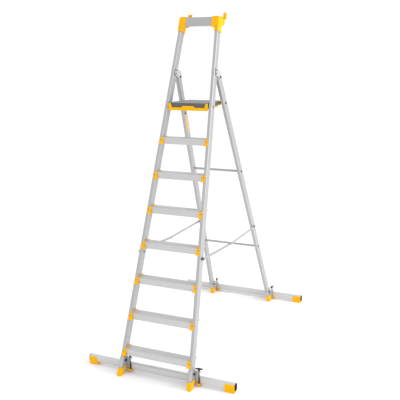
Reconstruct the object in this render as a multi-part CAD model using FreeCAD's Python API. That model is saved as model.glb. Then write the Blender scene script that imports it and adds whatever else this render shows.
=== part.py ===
import FreeCAD, Part
import math
import os

# Platform step ladder with sliding stabiliser beams.
# Millimetres. +Z up, +X to the climber's right, +Y away from the climber.
# The floor is z = 0. The model is first built with y = 0 at the front face of
# the front stiles at floor level; export moves the middle of the whole
# ladder's box to y = 0.

Vec = FreeCAD.Vector
X_AXIS = Vec(1, 0, 0)
Y_AXIS = Vec(0, 1, 0)
Z_AXIS = Vec(0, 0, 1)

# ---------------------------------------------------------------- dimensions
TREAD_PITCH = 235.0
TREAD_COUNT = 7
FIRST_TREAD_TOP = 182.0
TREAD_DEPTH = 72.0
TREAD_HEIGHT = 46.0
TREAD_WALL = 2.2
GROOVE_WIDTH = 2.2
GROOVE_PITCH = 9.0

# Step brackets: how far they lap over the stile's front and the tread's nose,
# the thickness of the tab, the screw's place, and the rear tip.
BRACKET_LAP = 17.0
BRACKET_GRIP = 8.0
BRACKET_TAB = 4.0
BRACKET_SCREW_DROP = 27.0
BRACKET_SCREW_INSET = 6.0
TIP_REACH = 84.0

# Both pairs of legs are the same rectangular extrusion.
TUBE_WIDTH = 24.0
TUBE_DEPTH = 60.0
TUBE_CORNER = 6.0
TUBE_WALL = 2.0

# Middle line of the right front stile: x and y at the floor, change per mm up.
STILE_X = 262.8
STILE_TAPER = 0.0534
STILE_Y = 31.4
STILE_LEAN = 0.3328
STILE_TOP_Z = 2396.0
FOOT_Z = 8.0

# Middle line of the right rear leg.
LEG_X = 272.9
LEG_TAPER = 0.0586
LEG_Y = 1764.9
LEG_LEAN = -0.4922

# Pivots, as (y, z).
MAIN_HINGE = (779.0, 2003.0)
PLATFORM_PIVOT = (632.0, 1805.0)
PLATFORM_REST = (870.0, 1818.0)
STAY_FRONT = (300.0, 815.0)
STAY_MIDDLE = (824.0, 781.0)
STAY_REAR = (1379.0, 779.0)

PLATE = 3.0
HINGE_PLATE_GAP = 2.6
PIN_CLEARANCE = 0.08
PIVOT_R = 5.0
RIVET_R = 3.0

# Platform.
DECK_TOP_Z = 1833.0
DECK_FRONT_Y = 604.0
DECK_REAR_Y = 900.0
DECK_FRONT_HALF = 148.0
DECK_REAR_HALF = 124.0
DECK_PLATE = 5.0
SIDE_RAIL = 14.0

# Hand frame at the top.
CASTING_WALL = 4.5
CASTING_INNER_X = 100.0
CASTING_BOTTOM_Z = 2313.0
CASTING_TOP_Z = 2421.0
CASTING_SHOULDER_R = 15.0
CASTING_SCREW_Z = 2337.0
ARM_BOTTOM_Z = 2346.0
TRAY_HALF = 116.0
TRAY_REAR_Y = 906.0
TRAY_BOTTOM_Z = 2352.0
TRAY_TOP_Z = 2416.0
TRAY_WALL = 2.5
HOOK_LEFT = (99.0, 125.0, 2441.0)
HOOK_RIGHT = (148.0, 168.0, 2448.0)

# Stabiliser beams.
BEAM_LENGTH = 1100.0
BEAM_DEPTH = 36.0
BEAM_HEIGHT = 50.0
BEAM_CORNER = 11.0
BEAM_WALL = 2.0
BEAM_BOTTOM_Z = 14.0
FRONT_BEAM_Y = 108.0
REAR_BEAM_Y = 1820.0
BEAM_FOOT_LENGTH = 70.0
BEAM_FOOT_WALL = 3.5
BEAM_FOOT_TOP_Z = 58.0
PLUG_LIP = 5.0
PLUG_DEPTH = 24.0

# Clamps that hold the beams to the legs.
CLAMP_PLATE = 3.0
CLAMP_TOP_Z = 117.0
CLAMP_LOW_Z = 54.0
LUG_THICKNESS = 6.0
LUG_MARGIN = 10.0
CLAMP_BOLT_Z = 95.0
CLAMP_BACK_GAP = 9.0
CLAMP_FOOT_WIDTH = 26.0
LEG_GAP = 0.3
PAD_LOW_Z = 9.1
PAD_TOP_Z = 23.0
BEAM_CLEARANCE = 0.8
KNOB_R = 25.0
KNOB_THICKNESS = 6.5
KNOB_STUD_R = 3.5
WING_R = 5.5
HUB_R = 9.0
CONE_HEIGHT = 11.0

# Knobs: distance beside the middle of the clamp, y, height, turn in degrees
# and the height of the stud's lower end.
FRONT_KNOB = (43.0, 84.0, 128.2, 10.0, 23.5)
REAR_KNOB = (10.0, 1816.0, 111.0, 70.0, 64.3)

# Lugs: front and rear y and the height of the top.
FRONT_LUG = (75.0, 96.0, 108.0)
REAR_LUG = (1800.0, 1830.0, 82.0)

BOOT_WALL = 3.5
BOOT_HEIGHT = 52.0
BRACE_R = 9.0
BRACE_Z = (584.0, 1278.0)
STAY_THICKNESS = 3.5
STAY_GAP = 0.5
FRONT_STAY_HEIGHT = 18.0
REAR_STAY_HEIGHT = 15.0
FRONT_STAY_X = 240.4

pieces = {}


# ------------------------------------------------------------------- helpers
def box(x0, x1, y0, y1, z0, z1):
    return Part.makeBox(x1 - x0, y1 - y0, z1 - z0, Vec(x0, y0, z0))


def rod(point, axis, radius, length):
    return Part.makeCylinder(radius, length, point, axis)


def prism_x(outline, x0, x1):
    """Extrude a closed outline of (y, z) points from x0 to x1."""
    points = [Vec(x0, y, z) for y, z in outline]
    face = Part.Face(Part.makePolygon(points + [points[0]]))
    return face.extrude(Vec(x1 - x0, 0, 0))


def rounded_prism_x(outline, radius, x0, x1):
    """As prism_x, with the outline grown outwards by a radius."""
    points = [Vec(x0, y, z) for y, z in outline]
    wire = Part.makePolygon(points + [points[0]])
    grown = wire.makeOffset2D(radius)
    return Part.Face(grown).extrude(Vec(x1 - x0, 0, 0))


def rounded_section(width, depth, corner):
    """Rounded rectangle in the XY plane, centred on the origin."""
    blank = box(-width / 2, width / 2, -depth / 2, depth / 2, 0, 1)
    upright = [e for e in blank.Edges if abs(e.tangentAt(e.FirstParameter).z) > 0.9]
    soft = blank.makeFillet(corner, upright)
    return [f for f in soft.Faces if f.CenterOfMass.z < 1e-6][0]


def rounded_bar(width, depth, corner, length):
    return rounded_section(width, depth, corner).extrude(Vec(0, 0, length))


def tube(width, depth, corner, wall, length):
    outer = rounded_bar(width, depth, corner, length)
    inner = rounded_bar(width - 2 * wall, depth - 2 * wall, corner - wall, length)
    return outer.cut(inner)


def leg_placement(x_floor, taper, y_floor, lean):
    """Local frame of a leaning leg: local z runs up the leg, local x points
    outwards and local y points to the rear."""
    up = Vec(-taper, lean, 1)
    up.normalize()
    out = X_AXIS - up * X_AXIS.dot(up)
    out.normalize()
    back = up.cross(out)
    matrix = FreeCAD.Matrix(
        out.x, back.x, up.x, x_floor,
        out.y, back.y, up.y, y_floor,
        out.z, back.z, up.z, 0,
        0, 0, 0, 1)
    return FreeCAD.Placement(matrix)


STILE = leg_placement(STILE_X, STILE_TAPER, STILE_Y, STILE_LEAN)
LEG = leg_placement(LEG_X, LEG_TAPER, LEG_Y, LEG_LEAN)


def along(frame, z):
    """Distance up a leg at which its middle line reaches height z."""
    return z / frame.Rotation.multVec(Z_AXIS).z


def placed(shape, frame):
    moved = shape.copy()
    moved.Placement = frame.multiply(moved.Placement)
    return moved


def mirrored(shape):
    return shape.mirror(Vec(0, 0, 0), X_AXIS)


def both_sides(shape):
    return Part.makeCompound([shape, mirrored(shape)])


def keep_pair(name, shape):
    pieces[name + "_right"] = shape
    pieces[name + "_left"] = mirrored(shape)


def stile_x(z):
    return STILE_X - STILE_TAPER * z


def stile_front(z):
    """y of the front face of the front stiles at height z."""
    half = TUBE_DEPTH / 2 * math.sqrt(1 + STILE_LEAN ** 2)
    return STILE_Y + STILE_LEAN * z - half


def leg_x(z):
    return LEG_X - LEG_TAPER * z


def leg_y(z):
    return LEG_Y + LEG_LEAN * z


def button(point, axis, head_r, head_h, shank_r, shank_l):
    """Domed screw or rivet: head outside the point, shank inside it."""
    head = rod(point, axis, head_r, head_h)
    rim = [e for e in head.Edges if (e.CenterOfMass - point).dot(axis) > head_h / 2]
    head = head.makeFillet(head_h * 0.6, [e for e in rim if e.Curve.TypeId == "Part::GeomCircle"])
    return head.fuse(rod(point, axis * -1, shank_r, shank_l)).removeSplitter()


def through_bolt(x0, x1, y, z, shank_r, head_r, head_h):
    """Bolt along X from x0 to x1 with a head outside and a nut inside."""
    shank = rod(Vec(x0, y, z), X_AXIS, shank_r, x1 - x0)
    head = rod(Vec(x1, y, z), X_AXIS, head_r, head_h)
    hexagon = [(y + head_r * math.cos(math.radians(60 * i)),
                z + head_r * math.sin(math.radians(60 * i))) for i in range(6)]
    nut = prism_x(hexagon, x0 - head_h, x0)
    return shank.fuse([head, nut]).removeSplitter()


def drill_x(shape, y, z, radius):
    hole = rod(Vec(0, y, z), X_AXIS, radius, BEAM_LENGTH)
    return shape.cut(hole)


# --------------------------------------------------------------- front frame
def front_stile():
    shape = tube(TUBE_WIDTH, TUBE_DEPTH, TUBE_CORNER, TUBE_WALL, along(STILE, STILE_TOP_Z) + 60)
    shape.translate(Vec(0, 0, -60))
    shape = placed(shape, STILE).common(box(0, 600, -200, 2400, FOOT_Z, 2600))
    for y, z in (PLATFORM_PIVOT, STAY_FRONT):
        shape = drill_x(shape, y, z, PIVOT_R + PIN_CLEARANCE)
    shape = shape.cut(hinge_rivet_set(PIN_CLEARANCE))
    for k in range(1, TREAD_COUNT + 1):
        shape = shape.cut(bracket_screw(k, PIN_CLEARANCE))
    shape = shape.cut(casting_screw(PIN_CLEARANCE))
    return shape.cut(clamp_bolt_front(PIN_CLEARANCE))


def stile_blank():
    shape = rounded_bar(TUBE_WIDTH, TUBE_DEPTH, TUBE_CORNER, along(STILE, STILE_TOP_Z) + 60)
    shape.translate(Vec(0, 0, -60))
    return placed(shape, STILE).common(box(0, 600, -200, 2400, FOOT_Z, 2600))


def tread_top(k):
    return FIRST_TREAD_TOP + TREAD_PITCH * (k - 1)


def tread_half(k):
    """Half length of a tread: 4 mm short of the stile's inner face."""
    return stile_x(tread_top(k)) - TUBE_WIDTH / 2 - 4.0


def tread(k):
    """Open aluminium channel with a ribbed top, a deep nose and a short heel."""
    top = tread_top(k)
    front = stile_front(top)
    rear = front + TREAD_DEPTH
    half = tread_half(k)
    nose = top - TREAD_HEIGHT
    heel = top - 30.0
    lip = 9.0
    wall = TREAD_WALL
    round_r = 5.0
    outline = [
        (front, nose), (front, top - round_r), (front + 1.5, top - 1.5),
        (front + round_r, top), (rear - 2, top), (rear, top - 2), (rear, heel),
        (rear - lip, heel), (rear - lip, heel + wall), (rear - wall, heel + wall),
        (rear - wall, top - wall - 1), (front + wall, top - wall - 1),
        (front + wall, nose + wall), (front + lip, nose + wall), (front + lip, nose)]
    shape = prism_x(outline, -half, half)
    count = int((TREAD_DEPTH - 10.0) // GROOVE_PITCH)
    cuts = []
    for i in range(count):
        y = front + 8.0 + i * GROOVE_PITCH
        cuts.append(box(-half, half, y, y + GROOVE_WIDTH, top - 0.9, top + 1))
    return shape.cut(cuts)


def tread_blank(k):
    top = tread_top(k)
    front = stile_front(top)
    half = tread_half(k)
    return box(-half, half, front, front + TREAD_DEPTH, top - TREAD_HEIGHT, top)


def bracket_screw_height(k):
    return along(STILE, tread_top(k) - BRACKET_SCREW_DROP)


def bracket_screw(k, grow=0.0):
    """Screw through the bracket's tab into the stile's front wall."""
    point = Vec(-BRACKET_SCREW_INSET, -TUBE_DEPTH / 2 - BRACKET_TAB - 0.2, bracket_screw_height(k))
    if grow:
        return placed(rod(point, Y_AXIS, 2.5 + grow, 16), STILE)
    return placed(button(point, Vec(0, -1, 0), 5.0, 2.4, 2.5, 14), STILE)


def step_bracket(k, blank):
    """Moulded bracket: tab on the inner half of the stile's front, notched
    grip on the tread's nose, cheek along the tread's end and a tip that
    shows behind the stile."""
    top = tread_top(k)
    front = stile_front(top)
    low = top - TREAD_HEIGHT
    end = tread_half(k)
    inner = stile_x(top) - TUBE_WIDTH / 2
    cheek_top = top + 2.4
    cheek = prism_x([
        (front - 1, low), (front - 1, top - 8), (front + 10, cheek_top), (front + 70, cheek_top),
        (front + TIP_REACH, top - 2), (front + TIP_REACH, top - 10), (front + 34, top - 20),
        (front + 20, low)], end, inner + BRACKET_LAP)
    tip = box(inner, inner + 20, front + 60, front + TIP_REACH, top - 10, top - 2)
    tab_top = top - 2.0
    grip = prism_x([
        (stile_front(tab_top) - BRACKET_TAB, tab_top), (stile_front(low) - BRACKET_TAB, low),
        (front, low), (front, tab_top)], end - BRACKET_GRIP, inner + 2)
    notch = rod(Vec(end - BRACKET_GRIP - 8, front - 40, top - 26), Y_AXIS, 14.0, 80)
    strip = box(end - 5, end, front + 10, front + 72, top, cheek_top)
    tab = prism_x([
        (stile_front(tab_top) - BRACKET_TAB, tab_top), (stile_front(low) - BRACKET_TAB, low),
        (stile_front(low) + 12, low), (stile_front(tab_top) + 12, tab_top)],
        inner - 1, inner + BRACKET_LAP)
    shape = cheek.fuse([grip.cut(notch), strip, tab, tip])
    shape = shape.cut([blank, tread_blank(k), bracket_screw(k, PIN_CLEARANCE)])
    solids = sorted(shape.Solids, key=lambda s: s.Volume)
    return solids[-1].removeSplitter()


def boot(frame, blank, bevels):
    """Moulded boot that the leg stands in, flat on the floor."""
    grow = 2 * BOOT_WALL
    outer = rounded_bar(TUBE_WIDTH + grow, TUBE_DEPTH + grow, TUBE_CORNER + 2, 140)
    outer.translate(Vec(0, 0, -60))
    outer = placed(outer, frame)
    floor_box = box(0, 600, -200, 2200, 0, BOOT_HEIGHT)
    shape = outer.common(floor_box)
    shape = shape.cut(bevels)
    return shape.cut(blank)


def front_boot(blank):
    heel = stile_front(0) + 41
    bevel = prism_x([(heel, 0), (heel + 60, 0), (heel + 60, 30), (heel + 22, 30)], 0, 600)
    return boot(STILE, blank, bevel)


def rear_boot(blank):
    middle = leg_y(0)
    bevel = prism_x([(middle + 6, 0), (middle + 80, 0), (middle + 80, 30), (middle + 26, 30)], 0, 600)
    toe = prism_x([(middle - 46, -1), (middle - 26, -1), (middle - 46, 15)], 0, 600)
    return boot(LEG, blank, bevel.fuse(toe))


def on_stile(y, z):
    """Local (y, z) on the stile of a world (y, z) in the stile's middle plane."""
    local = STILE.inverse().multVec(Vec(stile_x(z), y, z))
    return (local.y, local.z)


def y_on_stile(z):
    return STILE_Y + STILE_LEAN * z


def hinge_rivets():
    """Two rivets near the middle of the stile, beside the main hinge."""
    return [(y_on_stile(z) - 2.0, z) for z in (2051.0, 2029.0)]


def hinge_outline():
    rivets = hinge_rivets()
    y, z = MAIN_HINGE
    corners = [rivets[0], (y - 4, z + 28), (y + 9, z + 6), (y + 2, z + 1), (y - 8, z + 1), rivets[1]]
    return [on_stile(*corner) for corner in corners]


def hinge_plates():
    """Two plates, one each side of the stile, that carry the rear leg's pivot."""
    gap = TUBE_WIDTH / 2 + HINGE_PLATE_GAP
    outer = rounded_prism_x(hinge_outline(), 14.0, gap, gap + PLATE)
    inner = rounded_prism_x(hinge_outline(), 14.0, -gap - PLATE, -gap)
    shape = placed(Part.makeCompound([outer, inner]), STILE)
    y, z = MAIN_HINGE
    shape = drill_x(shape, y, z, PIVOT_R + PIN_CLEARANCE)
    return shape.cut(hinge_rivet_set(PIN_CLEARANCE))


def hinge_rivet_set(grow=0.0):
    """Rivets square to the stile's side faces, each with a spacer washer."""
    reach = TUBE_WIDTH / 2 + HINGE_PLATE_GAP + PLATE
    made = []
    for rivet in hinge_rivets():
        y, z = on_stile(*rivet)
        if grow:
            made.append(rod(Vec(-reach - 5, y, z), X_AXIS, RIVET_R + grow, 2 * reach + 10))
        else:
            made.append(through_bolt(-reach, reach, y, z, RIVET_R, 6.0, 2.0))
    return [placed(shape, STILE) for shape in made]


def main_hinge_pin():
    x = STILE.multVec(Vec(0, *on_stile(*MAIN_HINGE))).x
    reach = TUBE_WIDTH / 2 + HINGE_PLATE_GAP + PLATE + 0.6
    return through_bolt(x - reach, x + reach, *MAIN_HINGE, PIVOT_R, 8.5, 3.5)


def casting_front(z):
    return stile_front(z) - CASTING_WALL * math.sqrt(1 + STILE_LEAN ** 2)


def corner_casting(blank, rear_hook):
    """Moulded corner: socket round the stile's top, arm to the tray with a
    rounded shoulder, and a shelf to the rear with an upright hook."""
    grow = 2 * CASTING_WALL
    low = along(STILE, CASTING_BOTTOM_Z)
    high = along(STILE, CASTING_TOP_Z + 40)
    socket = rounded_bar(TUBE_WIDTH + grow, TUBE_DEPTH + grow, TUBE_CORNER + 2, high - low)
    socket.translate(Vec(0, 0, low))
    shoulder_z = CASTING_TOP_Z - CASTING_SHOULDER_R
    socket = placed(socket, STILE).common(box(0, 400, 0, 1200, CASTING_BOTTOM_Z - 100, shoulder_z))
    outer_x = stile_x(CASTING_TOP_Z) + TUBE_WIDTH / 2 + CASTING_WALL + 1.5
    rear = TRAY_REAR_Y + 4
    shelf = prism_x([
        (casting_front(CASTING_TOP_Z), CASTING_TOP_Z), (casting_front(ARM_BOTTOM_Z), ARM_BOTTOM_Z),
        (rear - 64, ARM_BOTTOM_Z), (rear - 8, ARM_BOTTOM_Z + 18), (rear, ARM_BOTTOM_Z + 26),
        (rear, CASTING_TOP_Z - 4), (rear - 4, CASTING_TOP_Z)], CASTING_INNER_X, outer_x)
    top_edge = [e for e in shelf.Edges
                if abs(e.tangentAt(e.FirstParameter).y) > 0.99
                and e.CenterOfMass.x > outer_x - 1
                and e.CenterOfMass.z > CASTING_TOP_Z - 1]
    shelf = shelf.makeFillet(CASTING_SHOULDER_R, top_edge)
    nub = rod(Vec(125, rear - 1, CASTING_TOP_Z - 13), Y_AXIS, 6, 12)
    shape = socket.fuse([shelf, upright_hook(*rear_hook), nub])
    shape = shape.cut([blank, tray_blank(), casting_screw(PIN_CLEARANCE)])
    solids = sorted(shape.Solids, key=lambda s: s.Volume)
    return solids[-1].removeSplitter()


def upright_hook(x0, x1, top):
    """Hook that stands on the shelf's rear edge and turns to the rear."""
    rear = TRAY_REAR_Y
    foot = CASTING_TOP_Z - 20
    return prism_x([
        (rear - 18, foot), (rear - 18, top - 6), (rear - 8, top), (rear + 8, top),
        (rear + 8, top - 7), (rear, top - 12), (rear, foot)], x0, x1)


def casting_screw(grow=0.0):
    point = Vec(0, -TUBE_DEPTH / 2 - CASTING_WALL, along(STILE, CASTING_SCREW_Z))
    if grow:
        return placed(rod(point, Y_AXIS, 2.5 + grow, 16), STILE)
    return placed(button(point, Vec(0, -1, 0), 5.0, 2.4, 2.5, 14), STILE)


def tray_front(z):
    return casting_front(z) + 3.0


def tray_blank():
    rear = TRAY_REAR_Y - 6
    return prism_x([
        (tray_front(TRAY_BOTTOM_Z), TRAY_BOTTOM_Z), (tray_front(2460), 2460), (rear, 2460),
        (rear, TRAY_BOTTOM_Z)], -TRAY_HALF, TRAY_HALF)


def tool_tray():
    """Extruded aluminium trough between the castings, open at the top."""
    rear = TRAY_REAR_Y - 6
    wall = TRAY_WALL
    lip = 7.0
    low = TRAY_BOTTOM_Z
    high = TRAY_TOP_Z
    floor_z = low + 12.0
    outline = [
        (tray_front(low + 3), low + 3), (tray_front(high - 2), high - 2),
        (tray_front(high) + 2, high), (tray_front(high) + lip, high),
        (tray_front(high) + lip, high - wall), (tray_front(high - wall) + wall, high - wall),
        (tray_front(floor_z) + wall, floor_z), (rear - wall, floor_z), (rear - wall, high - wall),
        (rear - lip, high - wall), (rear - lip, high), (rear - 2, high), (rear, high - 2),
        (rear, floor_z - wall), (tray_front(low) + 14, floor_z - wall), (tray_front(low) + 14, low),
        (tray_front(low) + 3, low)]
    return prism_x(outline, -TRAY_HALF, TRAY_HALF)


# ---------------------------------------------------------------- rear frame
def rear_leg_top():
    """Rounded top of the leg, centred on the main hinge."""
    y, z = MAIN_HINGE
    return rod(Vec(0, y, z), X_AXIS, TUBE_DEPTH / 2, 400)


def leg_blank():
    shape = rounded_bar(TUBE_WIDTH, TUBE_DEPTH, TUBE_CORNER, along(LEG, 2100) + 60)
    shape.translate(Vec(0, 0, -60))
    shape = placed(shape, LEG)
    hinge_z = MAIN_HINGE[1]
    low = shape.common(box(0, 600, 0, 2400, FOOT_Z, hinge_z))
    cap = shape.common(rear_leg_top())
    return low.fuse(cap)


def rear_leg():
    shape = tube(TUBE_WIDTH, TUBE_DEPTH, TUBE_CORNER, TUBE_WALL, along(LEG, 2100) + 60)
    shape.translate(Vec(0, 0, -60))
    shape = placed(shape, LEG).common(leg_blank())
    for y, z in (MAIN_HINGE, STAY_REAR, PLATFORM_REST):
        shape = drill_x(shape, y, z, PIVOT_R + PIN_CLEARANCE)
    for z in BRACE_Z:
        shape = drill_x(shape, leg_y(z), z, 4.0 + PIN_CLEARANCE)
    return shape.cut(clamp_bolt_rear(PIN_CLEARANCE))


def brace(z, blank):
    """Round tube across the rear frame, its ends cut to the legs' faces."""
    half = leg_x(z)
    shape = rod(Vec(-half, leg_y(z), z), X_AXIS, BRACE_R, 2 * half)
    bore = rod(Vec(-half, leg_y(z), z), X_AXIS, BRACE_R - 2, 2 * half)
    shape = shape.cut(bore)
    return shape.cut([blank, mirrored(blank)]).Solids[0]


def brace_bolt(z):
    """Bolt through the leg into the end of a brace."""
    outer = leg_x(z) + TUBE_WIDTH / 2 + 1.5
    return button(Vec(outer, leg_y(z), z), X_AXIS, 7.0, 3.0, 4.0, 46)


def platform_rest_pin():
    """Pin through the leg that the platform's hook sits on."""
    y, z = PLATFORM_REST
    x = leg_x(z)
    outer = x + TUBE_WIDTH / 2 + 1.2
    return button(Vec(outer, y, z), X_AXIS, 7.5, 3.5, PIVOT_R, 58)


def leg_label():
    """Blank information strip on the inner face of the left rear leg."""
    strip = rounded_bar(1.0, 22.0, 0.4, 178)
    strip.translate(Vec(-TUBE_WIDTH / 2 - 0.5, -6, along(LEG, 1588)))
    return mirrored(placed(strip, LEG))


# ------------------------------------------------------------------ platform
def deck_half(y):
    share = (y - DECK_FRONT_Y) / (DECK_REAR_Y - DECK_FRONT_Y)
    return DECK_FRONT_HALF + share * (DECK_REAR_HALF - DECK_FRONT_HALF)


def deck_slab(y0, y1, z0, z1, inset):
    """Slab between two heights that follows the deck's taper."""
    points = [
        Vec(-deck_half(y0) + inset, y0, z0), Vec(deck_half(y0) - inset, y0, z0),
        Vec(deck_half(y1) - inset, y1, z0), Vec(-deck_half(y1) + inset, y1, z0)]
    face = Part.Face(Part.makePolygon(points + [points[0]]))
    return face.extrude(Vec(0, 0, z1 - z0))


def platform_deck():
    """Ribbed standing plate."""
    shape = deck_slab(DECK_FRONT_Y, DECK_REAR_Y, DECK_TOP_Z - DECK_PLATE, DECK_TOP_Z, 0)
    pitch = 14.0
    cuts = []
    count = int(2 * (DECK_REAR_HALF - 6) // pitch)
    for i in range(count):
        x = -(count - 1) * pitch / 2 + i * pitch - 3.0
        cuts.append(box(
            x, x + 6.0, DECK_FRONT_Y + 12, DECK_REAR_Y - 10, DECK_TOP_Z - 1.4, DECK_TOP_Z + 1))
    return shape.cut(cuts)


def platform_frame():
    """Moulded frame under the deck: two side rails, a front and a rear bar."""
    high = DECK_TOP_Z - DECK_PLATE
    low = DECK_TOP_Z - 40.0
    front = DECK_FRONT_Y + 4
    rear = DECK_REAR_Y - 8
    ring = deck_slab(front, rear, low, high, 0.5)
    void = deck_slab(front + 16, rear - 12, low - 1, high + 1, SIDE_RAIL)
    ribs = [box(-150, 150, front + 90 * i, front + 90 * i + 5, low + 14, high) for i in (1, 2)]
    shape = ring.cut(void).fuse([rib.common(ring) for rib in ribs])
    taper = prism_x(
        [(front + 120, low), (rear + 1, low), (rear + 1, low + 10), (rear - 60, low + 8)], -200, 200)
    shape = shape.cut(taper)
    shape = shape.cut([platform_pivot(PIN_CLEARANCE), mirrored(platform_pivot(PIN_CLEARANCE))])
    return shape.cut(rest_notch()).removeSplitter()


def rest_notch():
    """Slot, open downwards, that drops over the two rest pins."""
    y, z = PLATFORM_REST
    r = PIVOT_R + 0.6
    mouth = [(y - r, z), (y - 46, z - 60), (y + r + 4, z - 60), (y + r, z)]
    return prism_x(mouth, -200, 200).fuse(rod(Vec(-200, y, z), X_AXIS, r, 400))


def platform_pivot(grow=0.0):
    """Bolt through the stile into the platform's side rail."""
    y, z = PLATFORM_PIVOT
    outer = stile_x(z) + TUBE_WIDTH / 2 + 1.0
    length = 50.0
    if grow:
        return rod(Vec(outer - length - 1, y, z), X_AXIS, PIVOT_R + grow, length + 1)
    return button(Vec(outer, y, z), X_AXIS, 8.0, 3.5, PIVOT_R, length - 1)


def front_rail():
    """Moulded front edge: bar, two end horns and a raised middle tab."""
    y0 = DECK_FRONT_Y - 6
    low = 1777.0
    bar_top = 1798.0
    half = DECK_FRONT_HALF + 2
    outline = [
        (-half, low + 4), (-half + 4, low), (half - 4, low), (half, low + 4),
        (half, 1826), (half - 18, 1826), (half - 25, bar_top), (52, bar_top), (40, 1809),
        (-40, 1809), (-52, bar_top), (-half + 25, bar_top), (-half + 18, 1826), (-half, 1826)]
    points = [Vec(x, y0, z) for x, z in outline]
    face = Part.Face(Part.makePolygon(points + [points[0]]))
    plate = face.extrude(Vec(0, 6, 0))
    shelf = box(-half + 6, half - 6, y0 + 6, y0 + 10, low, 1790)
    return plate.fuse(shelf).removeSplitter()


def side_edging():
    """Edging strip along the lower edge of each side rail."""
    low = DECK_TOP_Z - 44.0
    y0 = DECK_FRONT_Y + 6
    y1 = DECK_REAR_Y - 62
    strip = deck_slab(y0, y1, low, low + 11, -3.0).cut(deck_slab(y0, y1, low + 4, low + 20, 0.0))
    return strip.cut(deck_slab(y0, y1, low - 1, low + 20, SIDE_RAIL)).Solids


def rear_corner():
    """Moulded hook plate on the platform's rear corner."""
    y, z = PLATFORM_REST
    x = deck_half(y)
    outline = [
        (y - 24, z + 13), (y - 24, z - 6), (y - 32, z - 16), (y + 22, z - 16),
        (y + 27, z - 4), (y + 27, z + 10), (y + 22, z + 13)]
    shape = prism_x(outline, x + 2.6, x + 5.4)
    back = box(x - 30, x + 5.4, DECK_REAR_Y - 6, DECK_REAR_Y - 2, z - 14, z + 9)
    return shape.fuse(back).cut(rest_notch())


# --------------------------------------------------------------------- stays
def stay_bar(start, end, height, x0):
    """Flat bar with round ends between two (y, z) points."""
    dy = end[0] - start[0]
    dz = end[1] - start[1]
    length = math.hypot(dy, dz)
    r = height / 2
    nudge_y = -dz / length * 0.02
    nudge_z = dy / length * 0.02
    wire = [start, end, (end[0] + nudge_y, end[1] + nudge_z), (start[0] + nudge_y, start[1] + nudge_z)]
    return rounded_prism_x(wire, r, x0, x0 + STAY_THICKNESS)


def front_stay():
    shape = stay_bar(STAY_FRONT, STAY_MIDDLE, FRONT_STAY_HEIGHT, FRONT_STAY_X)
    shape = drill_x(shape, *STAY_FRONT, PIVOT_R + PIN_CLEARANCE)
    rivet = button(Vec(FRONT_STAY_X, *STAY_MIDDLE), X_AXIS * -1, 6.0, 2.4, 3.0, 1.0)
    return shape.fuse(rivet)


def rear_stay():
    x0 = FRONT_STAY_X + STAY_THICKNESS + STAY_GAP
    shape = stay_bar(STAY_MIDDLE, STAY_REAR, REAR_STAY_HEIGHT, x0)
    shape = drill_x(shape, *STAY_REAR, PIVOT_R + PIN_CLEARANCE)
    rivet = button(Vec(x0 + STAY_THICKNESS, *STAY_MIDDLE), X_AXIS, 6.0, 2.4, 3.0, 1.0)
    return shape.fuse(rivet)


def front_stay_pin():
    """Pivot bolt with a spacer that holds the bar off the stile."""
    y, z = STAY_FRONT
    face = stile_x(z) + TUBE_WIDTH / 2
    head_x = FRONT_STAY_X + STAY_THICKNESS + 0.4
    pin = button(Vec(head_x, y, z), X_AXIS, 8.0, 3.0, PIVOT_R, head_x - face + TUBE_WIDTH + 4)
    spacer = rod(Vec(face + 0.8, y, z), X_AXIS, 9.0, FRONT_STAY_X - 0.4 - face - 0.8)
    return pin.fuse(spacer).removeSplitter()


def rear_stay_pin():
    y, z = STAY_REAR
    face = leg_x(z) + TUBE_WIDTH / 2
    x0 = FRONT_STAY_X + STAY_THICKNESS + STAY_GAP
    head_x = x0 + STAY_THICKNESS + 0.4
    pin = button(Vec(head_x, y, z), X_AXIS, 8.0, 3.0, PIVOT_R, head_x - face + TUBE_WIDTH + 4)
    spacer = rod(Vec(face + 1.2, y, z), X_AXIS, 9.0, x0 - 0.4 - face - 1.2)
    return pin.fuse(spacer).removeSplitter()


# --------------------------------------------------------------- stabilisers
def beam(y):
    """Rounded tube across the ladder, open at both ends."""
    shape = tube(BEAM_HEIGHT, BEAM_DEPTH, BEAM_CORNER, BEAM_WALL, BEAM_LENGTH)
    turn = FreeCAD.Placement(
        Vec(-BEAM_LENGTH / 2, y, BEAM_BOTTOM_Z + BEAM_HEIGHT / 2),
        FreeCAD.Rotation(Y_AXIS, 90))
    shape.Placement = turn
    return shape


def beam_blank(y, grow, length=BEAM_LENGTH):
    shape = rounded_bar(BEAM_HEIGHT + 2 * grow, BEAM_DEPTH + 2 * grow, BEAM_CORNER + grow, length)
    shape.Placement = FreeCAD.Placement(
        Vec(-length / 2, y, BEAM_BOTTOM_Z + BEAM_HEIGHT / 2), FreeCAD.Rotation(Y_AXIS, 90))
    return shape


def beam_foot(y):
    """Moulded saddle under the end of a beam; its rear side runs further
    in along the floor than its front side."""
    end = BEAM_LENGTH / 2
    half = BEAM_DEPTH / 2 + BEAM_FOOT_WALL
    shape = box(end - BEAM_FOOT_LENGTH, end, y - half, y + half, 0, BEAM_FOOT_TOP_Z)
    low_edges = [e for e in shape.Edges
                 if e.CenterOfMass.z < 1 and e.CenterOfMass.x < end - 1]
    shape = shape.makeFillet(5.0, low_edges)
    slant = Part.Face(Part.makePolygon([
        Vec(end - BEAM_FOOT_LENGTH - 1, y, BEAM_FOOT_TOP_Z + 1),
        Vec(end - BEAM_FOOT_LENGTH - 1, y, 12),
        Vec(end - BEAM_FOOT_LENGTH + 22, y, BEAM_FOOT_TOP_Z + 1),
        Vec(end - BEAM_FOOT_LENGTH - 1, y, BEAM_FOOT_TOP_Z + 1)]))
    shape = shape.cut([slant.extrude(Vec(0, 60, 0)), beam_blank(y, 0.0)])
    return shape.Solids[0]


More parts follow.
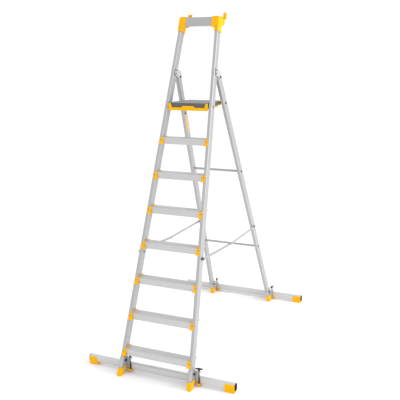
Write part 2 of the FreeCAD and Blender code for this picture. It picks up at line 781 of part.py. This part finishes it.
def turned(shape, y):
    """The same part at the beam's other end: half a turn about the beam's
    middle."""
    other = shape.copy()
    other.rotate(Vec(0, y, 0), Z_AXIS, 180)
    return other


def keep_feet(name, y):
    pieces[name + "_right"] = beam_foot(y)
    pieces[name + "_left"] = turned(beam_foot(y), y)


def beam_plug(y):
    """Hollow plug in the beam's open end, with a lip outside it."""
    end = BEAM_LENGTH / 2
    turn = FreeCAD.Rotation(Y_AXIS, 90)
    middle_z = BEAM_BOTTOM_Z + BEAM_HEIGHT / 2
    lip = rounded_bar(BEAM_HEIGHT, BEAM_DEPTH, BEAM_CORNER, PLUG_LIP)
    lip.Placement = FreeCAD.Placement(Vec(end, y, middle_z), turn)
    shrink = 2 * BEAM_WALL + 0.4
    core_corner = BEAM_CORNER - BEAM_WALL
    core = rounded_bar(BEAM_HEIGHT - shrink, BEAM_DEPTH - shrink, core_corner, PLUG_DEPTH)
    core.Placement = FreeCAD.Placement(Vec(end - PLUG_DEPTH, y, middle_z), turn)
    hollow = rounded_bar(BEAM_HEIGHT - shrink - 5, BEAM_DEPTH - shrink - 5, core_corner - 2.5, 30)
    hollow.Placement = FreeCAD.Placement(Vec(end - PLUG_DEPTH + 6, y, middle_z), turn)
    return lip.fuse(core).cut(hollow).removeSplitter()


def beam_plugs(y):
    return Part.makeCompound([beam_plug(y), turned(beam_plug(y), y)])


# -------------------------------------------------------------------- clamps
def beside(frame, side, near, far, y0, y1, z0, z1):
    """Box on one side of the clamp's middle: side is 1 outwards, -1 inwards."""
    middle = clamp_mid_x(frame)
    ends = sorted((middle + side * near, middle + side * far))
    return box(ends[0], ends[1], y0, y1, z0, z1)


def knob_point(frame, side, knob, z):
    return Vec(clamp_mid_x(frame) + side * knob[0], knob[1], z)


def clamp_strap(frame):
    """Rounded tube round the leg, with the leg's section still solid."""
    grow = 2 * (LEG_GAP + CLAMP_PLATE)
    low = along(frame, CLAMP_LOW_Z)
    high = along(frame, CLAMP_TOP_Z)
    strap = rounded_bar(TUBE_WIDTH + grow, TUBE_DEPTH + grow, TUBE_CORNER + CLAMP_PLATE, high - low)
    strap.translate(Vec(0, 0, low))
    return placed(strap, frame).common(box(0, 600, -200, 2400, CLAMP_LOW_Z, 300))


def leg_hole(frame):
    """The room the leg needs inside the clamp."""
    grow = 2 * LEG_GAP
    hole = rounded_bar(TUBE_WIDTH + grow, TUBE_DEPTH + grow, TUBE_CORNER, along(frame, 240))
    hole.translate(Vec(0, 0, -20))
    return placed(hole, frame)


def clamp_cheeks(frame, leg_mid, rear, beam_y):
    """Two side plates from the strap down past the beam."""
    clear_of_boot = leg_mid(CLAMP_LOW_Z) + 38.5
    outline = [
        (leg_mid(56), 56), (leg_mid(110), 110), (leg_mid(110) + 38, 104), (rear - 10, 84),
        (rear, 72), (rear, 12), (rear - 8, 6), (beam_y - 20, 6),
        (leg_mid(30) + 38.5, 30), (clear_of_boot, CLAMP_LOW_Z)]
    inner = TUBE_WIDTH / 2 + LEG_GAP + 1.4
    middle = clamp_mid_x(frame)
    outer_plate = prism_x(outline, middle + inner, middle + inner + CLAMP_PLATE)
    inner_plate = prism_x(outline, middle - inner - CLAMP_PLATE, middle - inner)
    return [outer_plate, inner_plate]


def clamp_bracket(frame, side, knob, lug_at, leg_mid, beam_y, bolt_hole):
    """Plate bracket: strap round the leg, two cheeks that the beam slides
    through, a lug that takes the knob's stud and a foot under the beam."""
    half = TUBE_WIDTH / 2 + LEG_GAP
    wide = half + CLAMP_PLATE
    rear = beam_y + BEAM_DEPTH / 2 + CLAMP_BACK_GAP
    back = beside(frame, 1, -wide, wide, rear - CLAMP_PLATE, rear, 16, 74)
    lug_front, lug_rear, lug_top = lug_at
    lug_low = lug_top - LUG_THICKNESS
    lug_far = max(knob[0] + LUG_MARGIN, wide)
    lug = beside(frame, side, -half, lug_far, lug_front, lug_rear, lug_low, lug_top)
    face = beam_y - BEAM_DEPTH / 2 - 2
    plate_far = max(knob[0] - 6, wide + 12)
    plate = beside(frame, side, wide - 1, plate_far, face - CLAMP_PLATE, face, PAD_TOP_Z + 1, lug_top)
    shape = clamp_strap(frame).fuse(clamp_cheeks(frame, leg_mid, rear, beam_y) + [back, lug, plate])
    shape = shape.cut([leg_hole(frame), beam_blank(beam_y, BEAM_CLEARANCE)])
    foot_low = PAD_LOW_Z - CLAMP_PLATE - 0.1
    foot_top = foot_low + CLAMP_PLATE
    front = jaw_front(knob, beam_y)
    foot = beside(frame, side, wide - 1, jaw_end(knob), front, beam_y + 12, foot_low, foot_top)
    stud_hole = rod(knob_point(frame, side, knob, lug_low - 2), Z_AXIS, KNOB_STUD_R + PIN_CLEARANCE, 20)
    shape = shape.fuse(foot).cut([stud_hole, bolt_hole])
    solids = sorted(shape.Solids, key=lambda s: s.Volume)
    return solids[-1].removeSplitter()


def jaw_front(knob, beam_y):
    """y of the front edge of the clamp's foot and its jaw."""
    return min(knob[1] - 5, beam_y - BEAM_DEPTH / 2 - 5)


def jaw_end(knob):
    """Far end of the foot and the jaw, from the middle of the clamp."""
    return max(TUBE_WIDTH / 2 + CLAMP_PLATE + CLAMP_FOOT_WIDTH, knob[0] + 9)


def clamp_mid_x(frame):
    return frame.Base.x + frame.Rotation.multVec(Z_AXIS).x * 70


def clamp_bolt(frame, grow):
    """Cross bolt through the leg and the clamp's strap."""
    x_mid = frame.Base.x + frame.Rotation.multVec(Z_AXIS).x * CLAMP_BOLT_Z
    point = frame.multVec(Vec(0, 0, along(frame, CLAMP_BOLT_Z)))
    reach = TUBE_WIDTH / 2 + CLAMP_PLATE + 4.0
    if grow:
        return rod(Vec(x_mid - 40, point.y, point.z), X_AXIS, PIVOT_R + grow, 80)
    return through_bolt(x_mid - reach, x_mid + reach, point.y, point.z, PIVOT_R, 8.0, 5.0)


def clamp_bolt_front(grow=0.0):
    return clamp_bolt(STILE, grow)


def clamp_bolt_rear(grow=0.0):
    return clamp_bolt(LEG, grow)


def clamp_pad(frame, side, knob, beam_y):
    """Moulded jaw on the clamp's foot that the beam lies in."""
    near = TUBE_WIDTH / 2 + CLAMP_PLATE + 5
    front = jaw_front(knob, beam_y)
    shape = beside(frame, side, near, jaw_end(knob), front, beam_y + 11, PAD_LOW_Z, PAD_TOP_Z)
    shape = shape.cut(beam_blank(beam_y, 0.35))
    return sorted(shape.Solids, key=lambda s: s.Volume)[-1]


def wing_knob(frame, side, knob):
    """Two-winged knob with its stud moulded in."""
    middle_z, turn, stud_low = knob[2:]
    top = middle_z + KNOB_THICKNESS / 2
    low = middle_z - KNOB_THICKNESS / 2
    reach = KNOB_R - WING_R
    wings = box(-reach, reach, -WING_R, WING_R, low, top)
    tips = [rod(Vec(end * reach, 0, low), Z_AXIS, WING_R, KNOB_THICKNESS) for end in (-1, 1)]
    wings = wings.fuse(tips)
    wings.rotate(Vec(0, 0, 0), Z_AXIS, turn)
    wings.translate(knob_point(frame, side, knob, 0))
    hub = rod(knob_point(frame, side, knob, low - 1), Z_AXIS, HUB_R, KNOB_THICKNESS + 2)
    cone_low = knob_point(frame, side, knob, low - CONE_HEIGHT)
    cone = Part.makeCone(6.0, HUB_R - 1, CONE_HEIGHT, cone_low, Z_AXIS)
    stud = rod(knob_point(frame, side, knob, stud_low), Z_AXIS, KNOB_STUD_R, low - 8 - stud_low)
    return hub.fuse([wings, cone, stud]).removeSplitter()


def keep_clamps(end, frame, knob, lug_at, leg_mid, beam_y, bolt_hole):
    """Both clamps of one beam have their knobs and jaws on their right."""
    right = clamp_bracket(frame, 1, knob, lug_at, leg_mid, beam_y, bolt_hole)
    left = mirrored(clamp_bracket(frame, -1, knob, lug_at, leg_mid, beam_y, bolt_hole))
    pieces[end + "_clamp_right"] = right
    pieces[end + "_clamp_left"] = left
    pads = [clamp_pad(frame, 1, knob, beam_y), mirrored(clamp_pad(frame, -1, knob, beam_y))]
    pieces[end + "_clamp_pads"] = Part.makeCompound(pads)


def keep_knobs(end, frame, knob):
    pieces[end + "_knob_right"] = wing_knob(frame, 1, knob)
    pieces[end + "_knob_left"] = mirrored(wing_knob(frame, -1, knob))


# --------------------------------------------------------------------- build
def build():
    stile_solid = stile_blank()
    leg_solid = leg_blank()

    keep_pair("front_stile", front_stile())
    for k in range(1, TREAD_COUNT + 1):
        pieces["tread_%d" % k] = tread(k)
        pieces["step_brackets_%d" % k] = both_sides(step_bracket(k, stile_solid))
    screws = [bracket_screw(k) for k in range(1, TREAD_COUNT + 1)] + [casting_screw(), platform_pivot()]
    pieces["front_frame_screws"] = both_sides(Part.makeCompound(screws))
    keep_pair("front_boot", front_boot(stile_solid))
    pieces["hand_frame_corner_right"] = corner_casting(stile_solid, HOOK_RIGHT)
    pieces["hand_frame_corner_left"] = mirrored(corner_casting(stile_solid, HOOK_LEFT))
    pieces["tool_tray"] = tool_tray()
    keep_pair("hinge_plates", hinge_plates())
    bolts = [main_hinge_pin(), front_stay_pin(), clamp_bolt_front()]
    pieces["front_frame_bolts"] = both_sides(Part.makeCompound(hinge_rivet_set() + bolts))
    front_hole = clamp_bolt_front(PIN_CLEARANCE)
    keep_clamps("front", STILE, FRONT_KNOB, FRONT_LUG, y_on_stile, FRONT_BEAM_Y, front_hole)

    keep_pair("rear_leg", rear_leg())
    pieces["rear_brace_lower"] = brace(BRACE_Z[0], leg_solid)
    pieces["rear_brace_upper"] = brace(BRACE_Z[1], leg_solid)
    keep_pair("rear_boot", rear_boot(leg_solid))
    bolts = [brace_bolt(z) for z in BRACE_Z]
    bolts += [platform_rest_pin(), rear_stay_pin(), clamp_bolt_rear()]
    pieces["rear_frame_bolts"] = both_sides(Part.makeCompound(bolts))
    rear_hole = clamp_bolt_rear(PIN_CLEARANCE)
    keep_clamps("rear", LEG, REAR_KNOB, REAR_LUG, leg_y, REAR_BEAM_Y, rear_hole)
    pieces["leg_label"] = leg_label()

    pieces["platform_deck"] = platform_deck()
    pieces["platform_frame"] = platform_frame()
    pieces["platform_front_rail"] = front_rail()
    pieces["platform_side_edging"] = Part.makeCompound(side_edging())
    pieces["platform_rear_corners"] = both_sides(rear_corner())

    keep_pair("front_stay", front_stay())
    keep_pair("rear_stay", rear_stay())

    pieces["front_beam"] = beam(FRONT_BEAM_Y)
    pieces["rear_beam"] = beam(REAR_BEAM_Y)
    keep_feet("front_beam_foot", FRONT_BEAM_Y)
    keep_feet("rear_beam_foot", REAR_BEAM_Y)
    pieces["front_beam_plugs"] = beam_plugs(FRONT_BEAM_Y)
    pieces["rear_beam_plugs"] = beam_plugs(REAR_BEAM_Y)
    keep_knobs("front", STILE, FRONT_KNOB)
    keep_knobs("rear", LEG, REAR_KNOB)


def export():
    whole = FreeCAD.BoundBox()
    for shape in pieces.values():
        whole.add(shape.optimalBoundingBox(False, False))
    middle = whole.Center.y
    os.makedirs("parts", exist_ok=True)
    for name, shape in pieces.items():
        moved = shape.copy()
        moved.translate(Vec(0, -middle, 0))
        moved.exportStep("parts/%s.step" % name)
    print("nodes", len(pieces), "y shift", -middle, "box", whole)


build()
export()
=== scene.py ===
import math

import bpy
from mathutils import Matrix, Vector


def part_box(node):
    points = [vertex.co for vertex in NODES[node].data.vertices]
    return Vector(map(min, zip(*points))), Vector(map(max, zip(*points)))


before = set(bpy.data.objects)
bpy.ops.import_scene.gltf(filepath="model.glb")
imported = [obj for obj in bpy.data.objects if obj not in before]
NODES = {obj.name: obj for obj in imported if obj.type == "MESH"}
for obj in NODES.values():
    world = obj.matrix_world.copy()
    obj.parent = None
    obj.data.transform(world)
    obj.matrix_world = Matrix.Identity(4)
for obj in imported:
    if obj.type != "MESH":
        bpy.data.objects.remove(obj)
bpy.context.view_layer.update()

# Colours and grey tones of the finishes, in linear light.
YELLOW = (0.95, 0.485, 0.0)
BLACK = (0.008, 0.008, 0.009)
DARK_GREY = (0.13, 0.13, 0.133)
LABEL_DEEP = (0.78, 0.45, 0.03, 1)
LABEL_FULL = (0.88, 0.53, 0.05, 1)
LABEL_BLOCK = (0.03, 0.03, 0.035, 1)
LEG_TONE = 0.44
TREAD_TONE = 0.56
BEAM_TONE = 0.60
TRAY_TONE = 0.42
CLAMP_TONE = 0.50
HINGE_TONE = 0.60
STAY_TONE = 0.42
SCREW_TONE = 0.3
BOLT_TONE = 0.045
DECK_TONE = 0.27

# Share of the leg strip's height that its dark block takes.
LABEL_BLOCK_SHARE = 0.16

# Metallic share of each metal finish.
ANODISED_METAL = 0.5
STEEL_METAL = 0.65
COATED_METAL = 0.35

# Noise scales, in cycles per metre: across and along the grain where it has
# a direction.
DIE_LINES = (900.0, 900.0, 6.0)
WIDE_DIE_LINES = (160.0, 160.0, 1.2)
SCRATCHES = (1500.0, 1500.0, 30.0)
SCRATCH_DIRECTION = (0.2, 1.0, 0.4)
BLOTCHES = 9.0
SPANGLES = 260.0
MOULD_GRAIN = 1700.0
MOULD_SHEEN = 38.0
DECK_GRIT = 900.0
DECK_RUBS = 24.0
LABEL_FADE = 60.0
FLOOR_TINT = 0.7

# Bump heights, metres.
LINE_BUMP = 0.00004
FINE_BUMP = 0.00003
GRIT_BUMP = 0.00018

# Rounded edges, metres, and the smallest angle that gets one, degrees.
PLASTIC_EDGE = 0.0012
PLUG_EDGE = 0.0008
PLATE_EDGE = 0.0006
EDGE_SEGMENTS = 2
EDGE_ANGLE = 32.0
WELD_DISTANCE = 0.00002

# Studio: metres, watts and degrees.
FLOOR_HALF = 30.0
WORLD_STRENGTH = 1.06
KEY_PLACE = (6.0, 0.5, 3.5)
KEY_SIZE = 3.5
KEY_POWER = 230
KEY_TARGET = (0, 0, 1.1)
CAMERA_PLACE = (1.8117, -4.3406, 2.1070)
CAMERA_TURN = 23.185
CAMERA_TILT = -12.376
CAMERA_ROLL = 0.10
LENS = 56.585
SENSOR = 36.0


# ------------------------------------------------------------------ helpers
def nodes_named(*starts):
    return [n for n in sorted(NODES) if n.startswith(starts)]


class Graph:
    """Small helper for building a material's node tree."""

    def __init__(self, name):
        self.material = bpy.data.materials.new(name)
        self.material.use_nodes = True
        self.tree = self.material.node_tree
        self.shader = self.tree.nodes["Principled BSDF"]

    def add(self, kind, **settings):
        node = self.tree.nodes.new(kind)
        for key, value in settings.items():
            setattr(node, key, value)
        return node

    def link(self, source, target):
        self.tree.links.new(source, target)

    def set(self, **values):
        for key, value in values.items():
            self.shader.inputs[key.replace("_", " ")].default_value = value

    def coords(self, along, stretch):
        """Object coordinates, turned so that Z runs along a direction if one
        is given, then scaled."""
        source = self.add("ShaderNodeTexCoord").outputs["Object"]
        if along is not None:
            turn = Vector(along).normalized().rotation_difference(Vector((0, 0, 1)))
            rotate = self.add("ShaderNodeMapping")
            rotate.inputs["Rotation"].default_value = turn.to_euler()
            self.link(source, rotate.inputs["Vector"])
            source = rotate.outputs["Vector"]
        scale = self.add("ShaderNodeMapping")
        scale.inputs["Scale"].default_value = stretch
        self.link(source, scale.inputs["Vector"])
        return scale.outputs["Vector"]

    def even_coords(self, scale):
        return self.coords(None, (scale, scale, scale))

    def noise(self, vector, detail, rough=0.55):
        node = self.add("ShaderNodeTexNoise")
        node.inputs["Scale"].default_value = 1.0
        node.inputs["Detail"].default_value = detail
        node.inputs["Roughness"].default_value = rough
        self.link(vector, node.inputs["Vector"])
        return node.outputs["Fac"]

    def spread(self, value, low, high):
        """Map 0.3..0.7 of a noise value to low..high."""
        node = self.add("ShaderNodeMapRange")
        node.inputs["From Min"].default_value = 0.3
        node.inputs["From Max"].default_value = 0.7
        node.inputs["To Min"].default_value = low
        node.inputs["To Max"].default_value = high
        self.link(value, node.inputs["Value"])
        return node.outputs["Result"]

    def blend(self, factor, first, second):
        node = self.add("ShaderNodeMix", data_type="RGBA")
        for socket, value in ((node.inputs[6], first), (node.inputs[7], second)):
            if isinstance(value, tuple):
                socket.default_value = value
            else:
                self.link(value, socket)
        self.link(factor, node.inputs[0])
        return node.outputs[2]

    def edge_wear(self, radius, low, high):
        """1 on sharp edges and 0 on flats, from the rounded-corner normal."""
        bevel = self.add("ShaderNodeBevel", samples=4)
        bevel.inputs["Radius"].default_value = radius
        geometry = self.add("ShaderNodeNewGeometry")
        dot = self.add("ShaderNodeVectorMath", operation="DOT_PRODUCT")
        self.link(bevel.outputs["Normal"], dot.inputs[0])
        self.link(geometry.outputs["Normal"], dot.inputs[1])
        ramp = self.add("ShaderNodeMapRange")
        ramp.inputs["From Min"].default_value = high
        ramp.inputs["From Max"].default_value = low
        self.link(dot.outputs["Value"], ramp.inputs["Value"])
        return ramp.outputs["Result"]

    def bump(self, height, distance, strength):
        node = self.add("ShaderNodeBump")
        node.inputs["Strength"].default_value = strength
        node.inputs["Distance"].default_value = distance
        self.link(height, node.inputs["Height"])
        return node.outputs["Normal"]


def grey(value):
    """Grey that leans a little to blue."""
    return (value, value, value * 1.01, 1.0)


# ---------------------------------------------------------------- materials
def extruded_aluminium(name, along, tone, rough=0.36):
    """Clear-anodised extrusion: fine die lines along its length, faint
    blotches, brighter rubbed edges."""
    g = Graph(name)
    lines = g.noise(g.coords(along, DIE_LINES), 3.0, 0.6)
    wide_lines = g.noise(g.coords(along, WIDE_DIE_LINES), 2.0)
    blotch = g.noise(g.even_coords(BLOTCHES), 3.0)
    mix = g.add("ShaderNodeMath", operation="ADD")
    g.link(g.spread(lines, -0.5, 0.5), mix.inputs[0])
    g.link(g.spread(wide_lines, -0.5, 0.5), mix.inputs[1])
    shade = g.add("ShaderNodeMapRange")
    shade.inputs["From Min"].default_value = -1.0
    shade.inputs["From Max"].default_value = 1.0
    g.link(mix.outputs[0], shade.inputs["Value"])
    base = g.blend(shade.outputs["Result"], grey(tone * 0.93), grey(min(1.0, tone * 1.06)))
    wear = g.edge_wear(0.0012, 0.75, 0.98)
    g.link(g.blend(wear, base, grey(min(1.0, tone * 1.18))), g.shader.inputs["Base Color"])
    g.link(g.spread(blotch, rough - 0.05, rough + 0.07), g.shader.inputs["Roughness"])
    g.link(g.bump(lines, LINE_BUMP, 0.5), g.shader.inputs["Normal"])
    g.set(Metallic=ANODISED_METAL)
    return g.material


def sheet_steel(name, tone, rough=0.34):
    """Zinc-plated steel: soft spangle and fine scratches."""
    g = Graph(name)
    spangle = g.noise(g.even_coords(SPANGLES), 2.0)
    scratch = g.noise(g.coords(SCRATCH_DIRECTION, SCRATCHES), 4.0)
    base = g.blend(g.spread(spangle, 0.0, 1.0), grey(tone * 0.9), grey(tone * 1.05))
    wear = g.edge_wear(0.0008, 0.75, 0.98)
    g.link(g.blend(wear, base, grey(min(1.0, tone * 1.25))), g.shader.inputs["Base Color"])
    g.link(g.spread(spangle, rough - 0.06, rough + 0.1), g.shader.inputs["Roughness"])
    g.link(g.bump(scratch, FINE_BUMP, 0.5), g.shader.inputs["Normal"])
    g.set(Metallic=STEEL_METAL)
    return g.material


def moulded_plastic(name, colour, rough=0.42, gloss=0.3, scuff=0.12):
    """Moulded plastic: fine spark-eroded grain, uneven sheen, paler worn
    edges."""
    g = Graph(name)
    fine = g.noise(g.even_coords(MOULD_GRAIN), 2.0)
    sheen = g.noise(g.even_coords(MOULD_SHEEN), 3.0)
    deep = tuple(c * 0.9 for c in colour) + (1.0,)
    full = tuple(colour) + (1.0,)
    pale = tuple(min(1.0, c + (1.0 - c) * scuff + 0.01) for c in colour) + (1.0,)
    base = g.blend(g.spread(sheen, 0.0, 1.0), deep, full)
    wear = g.edge_wear(0.0012, 0.7, 0.97)
    g.link(g.blend(wear, base, pale), g.shader.inputs["Base Color"])
    g.link(g.spread(sheen, rough - 0.05, rough + 0.09), g.shader.inputs["Roughness"])
    g.link(g.bump(fine, FINE_BUMP, 0.6), g.shader.inputs["Normal"])
    g.set(Specular_IOR_Level=gloss)
    return g.material


def coated_deck(name, tone):
    """Textured grey coating, rubbed paler on the raised ribs."""
    g = Graph(name)
    grit = g.noise(g.even_coords(DECK_GRIT), 3.0, 0.7)
    tread_marks = g.noise(g.even_coords(DECK_RUBS), 4.0)
    base = g.blend(g.spread(grit, 0.0, 1.0), grey(tone * 0.8), grey(tone * 1.15))
    worn = g.blend(g.spread(tread_marks, 0.0, 0.45), base, grey(min(1.0, tone * 1.5)))
    wear = g.edge_wear(0.001, 0.75, 0.98)
    g.link(g.blend(wear, worn, grey(min(1.0, tone * 2.0))), g.shader.inputs["Base Color"])
    g.link(g.spread(tread_marks, 0.45, 0.62), g.shader.inputs["Roughness"])
    g.link(g.bump(grit, GRIT_BUMP, 0.7), g.shader.inputs["Normal"])
    g.set(Metallic=COATED_METAL)
    return g.material


def label_film(name, low, high):
    """Blank yellow strip with one dark block at its upper end."""
    g = Graph(name)
    coords = g.add("ShaderNodeTexCoord")
    split = g.add("ShaderNodeSeparateXYZ")
    g.link(coords.outputs["Object"], split.inputs[0])
    step = g.add("ShaderNodeMath", operation="GREATER_THAN")
    step.inputs[1].default_value = high - LABEL_BLOCK_SHARE * (high - low)
    g.link(split.outputs["Z"], step.inputs[0])
    fade = g.noise(g.even_coords(LABEL_FADE), 2.0)
    film = g.blend(g.spread(fade, 0.0, 1.0), LABEL_DEEP, LABEL_FULL)
    g.link(g.blend(step.outputs[0], film, LABEL_BLOCK), g.shader.inputs["Base Color"])
    g.link(g.spread(fade, 0.22, 0.34), g.shader.inputs["Roughness"])
    return g.material


# ----------------------------------------------------------- dressing nodes
def leg_direction(node):
    """Direction up a leg, from the middle of its lowest to its highest
    points."""
    points = [v.co for v in NODES[node].data.vertices]
    lowest = min(p.z for p in points)
    highest = max(p.z for p in points)
    low = [p for p in points if p.z < lowest + 0.05]
    high = [p for p in points if p.z > highest - 0.08]
    return sum(high, Vector()) / len(high) - sum(low, Vector()) / len(low)


def dress(node, material):
    slots = NODES[node].data.materials
    slots.clear()
    slots.append(material)


def soften(node, width):
    """Round the sharp edges of a CAD node for the picture."""
    obj = NODES[node]
    weld = obj.modifiers.new("weld", "WELD")
    weld.merge_threshold = WELD_DISTANCE
    bevel = obj.modifiers.new("bevel", "BEVEL")
    bevel.width = width
    bevel.segments = EDGE_SEGMENTS
    bevel.limit_method = "ANGLE"
    bevel.angle_limit = math.radians(EDGE_ANGLE)
    bevel.use_clamp_overlap = True
    bevel.harden_normals = False
    normals = obj.modifiers.new("normals", "WEIGHTED_NORMAL")
    normals.keep_sharp = False


def dress_cad():
    for name in nodes_named("front_stile", "rear_leg"):
        dress(name, extruded_aluminium("anodised_" + name, leg_direction(name), LEG_TONE))
    across = (1, 0, 0)
    tread = extruded_aluminium("anodised_treads", across, TREAD_TONE)
    beam = extruded_aluminium("anodised_beams", across, BEAM_TONE)
    tray = extruded_aluminium("anodised_tray", across, TRAY_TONE)
    for name in nodes_named("tread_"):
        dress(name, tread)
    for name in ("front_beam", "rear_beam"):
        dress(name, beam)
    for name in nodes_named("rear_brace"):
        dress(name, tray)
    dress("tool_tray", tray)
    yellow = moulded_plastic("yellow_plastic", YELLOW, 0.45, 0.12, 0.05)
    for name in nodes_named("step_brackets", "front_boot", "rear_boot", "hand_frame", "front_beam_foot",
                            "rear_beam_foot", "platform_front_rail", "platform_side", "platform_rear"):
        dress(name, yellow)
        soften(name, PLASTIC_EDGE)
    for name in nodes_named("front_clamp_pads", "rear_clamp_pads"):
        dress(name, yellow)
    black = moulded_plastic("black_plastic", BLACK, 0.38, 0.2, 0.05)
    for name in nodes_named("front_knob", "rear_knob"):
        dress(name, black)
        soften(name, PLASTIC_EDGE)
    for name in nodes_named("front_beam_plugs", "rear_beam_plugs"):
        dress(name, black)
        soften(name, PLUG_EDGE)
    dark = moulded_plastic("dark_plastic", DARK_GREY, 0.5)
    dress("platform_frame", dark)
    dress("platform_deck", coated_deck("deck_coating", DECK_TONE))
    clamp = sheet_steel("clamp_plate", CLAMP_TONE, 0.42)
    for name in ("front_clamp_right", "front_clamp_left", "rear_clamp_right", "rear_clamp_left"):
        dress(name, clamp)
        soften(name, PLATE_EDGE)
    plate = sheet_steel("hinge_plate", HINGE_TONE, 0.34)
    for name in nodes_named("hinge_plates"):
        dress(name, plate)
        soften(name, PLATE_EDGE)
    stay = sheet_steel("stay_bar", STAY_TONE, 0.38)
    for name in nodes_named("front_stay", "rear_stay"):
        dress(name, stay)
    dress("front_frame_screws", sheet_steel("screw_steel", SCREW_TONE, 0.36))
    for name in ("front_frame_bolts", "rear_frame_bolts"):
        dress(name, sheet_steel("blackened_steel", BOLT_TONE, 0.4))
    low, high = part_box("leg_label")
    dress("leg_label", label_film("label_film", low.z, high.z))


# -------------------------------------------------------------- the studio
def studio_floor():
    size = FLOOR_HALF
    mesh = bpy.data.meshes.new("floor")
    corners = [(-size, -size, 0), (size, -size, 0), (size, size, 0), (-size, size, 0)]
    mesh.from_pydata(corners, [], [(0, 1, 2, 3)])
    floor = bpy.data.objects.new("floor", mesh)
    bpy.context.scene.collection.objects.link(floor)
    g = Graph("floor")
    tint = g.noise(g.even_coords(FLOOR_TINT), 2.0)
    g.link(g.blend(g.spread(tint, 0.0, 1.0), grey(0.97), grey(0.985)), g.shader.inputs["Base Color"])
    g.set(Roughness=0.9, Specular_IOR_Level=0.1)
    mesh.materials.append(g.material)


def area_light(name, place, target, size, power):
    data = bpy.data.lights.new(name, "AREA")
    data.shape = "RECTANGLE"
    data.size = size
    data.size_y = size
    data.energy = power
    light = bpy.data.objects.new(name, data)
    light.location = place
    light.rotation_euler = (Vector(target) - Vector(place)).to_track_quat("-Z", "Y").to_euler()
    bpy.context.scene.collection.objects.link(light)


def studio_light():
    world = bpy.data.worlds.new("studio")
    world.use_nodes = True
    backdrop = world.node_tree.nodes["Background"]
    backdrop.inputs["Color"].default_value = (1, 1, 1, 1)
    backdrop.inputs["Strength"].default_value = WORLD_STRENGTH
    bpy.context.scene.world = world
    area_light("key_right", KEY_PLACE, KEY_TARGET, KEY_SIZE, KEY_POWER)


def studio_camera():
    data = bpy.data.cameras.new("camera")
    data.lens = LENS
    data.sensor_width = SENSOR
    camera = bpy.data.objects.new("camera", data)
    turn = Matrix.Rotation(math.radians(CAMERA_TURN), 4, "Z")
    tilt = Matrix.Rotation(math.radians(90 + CAMERA_TILT), 4, "X")
    roll = Matrix.Rotation(math.radians(-CAMERA_ROLL), 4, "Z")
    camera.matrix_world = Matrix.Translation(CAMERA_PLACE) @ turn @ tilt @ roll
    bpy.context.scene.collection.objects.link(camera)
    bpy.context.scene.camera = camera


studio_camera()
studio_light()
studio_floor()
dress_cad()
bpy.context.scene.view_settings.view_transform = "Standard"
